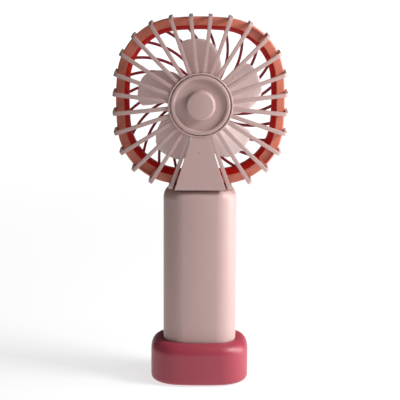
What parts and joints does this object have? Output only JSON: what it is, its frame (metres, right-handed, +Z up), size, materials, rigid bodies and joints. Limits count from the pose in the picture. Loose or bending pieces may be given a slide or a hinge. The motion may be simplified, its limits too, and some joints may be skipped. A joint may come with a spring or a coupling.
{
  "type": "handheld electric fan",
  "caption": "Battery handheld fan with a caged impeller, a straight handle with a power button, and a low table stand that the handle lifts out of.",
  "frame": {"origin": "centre of the stand's footprint on the table", "axes": "+Z up along the handle, -Y the way the air blows, X across the fan"},
  "size_m": [0.097, 0.0468, 0.2075],
  "materials": {
    "casing": "light pink moulded plastic, satin matte",
    "rim": "deep coral red moulded plastic, slightly glossy",
    "stand": "rose pink moulded plastic, satin",
    "blades": "mauve pink moulded plastic",
    "hub_cap": "light pink disc",
    "steel": "plain steel",
    "brass": "sintered bronze bushes and copper contacts",
    "magnet": "dark grey ferrite",
    "rubber": "soft dark rubber",
    "board": "green solder mask",
    "chips": "black chip packages",
    "cell": "blue shrink sleeve",
    "lens": "milky clear lens",
    "lead": "red insulation"
  },
  "bodies": {
    "stand": {"stand_shell": "stand", "stand_bottom_plate": "stand", "stand_weight": "steel", "stand_feet": "rubber", "stand_screws": "steel"},
    "impeller_body": {"impeller": "blades", "motor_shaft": "steel", "armature": "steel"},
    "button_body": {"power_button": "hub_cap", "switch_plunger": "chips"},
    "fan": {"handle_front_shell": "casing", "handle_rear_shell": "casing", "handle_bottom_cap": "casing", "rear_grille": "casing", "neck_plate": "casing", "motor_cover": "casing", "front_grille": "rim", "front_cap": "hub_cap", "motor_can": "steel", "motor_end_cap": "magnet", "motor_bushes": "brass", "motor_magnets": "magnet", "circuit_board": "board", "board_parts": "chips", "board_screws": "steel", "battery_cell": "cell", "battery_contacts": "brass", "charge_socket": "steel", "switch_body": "chips", "indicator_lenses": "lens", "motor_leads": "lead", "battery_leads": "lead"}
  },
  "joints": [
    {"name": "fan_lift", "type": "slide", "parent": "stand", "child": "fan", "axis": [0, 0, 1], "range_m": [0, 0.03]},
    {"name": "impeller_spin", "type": "hinge", "parent": "fan", "child": "impeller_body", "pos_m": [0, 0, 0.159], "axis": [0, 1, 0], "continuous": true},
    {"name": "button_press", "type": "slide", "parent": "fan", "child": "button_body", "axis": [0, 1, 0], "range_m": [0, 0.0006], "stiffness_N_per_m": 1500, "springref_m": -0.0004}
  ]
}
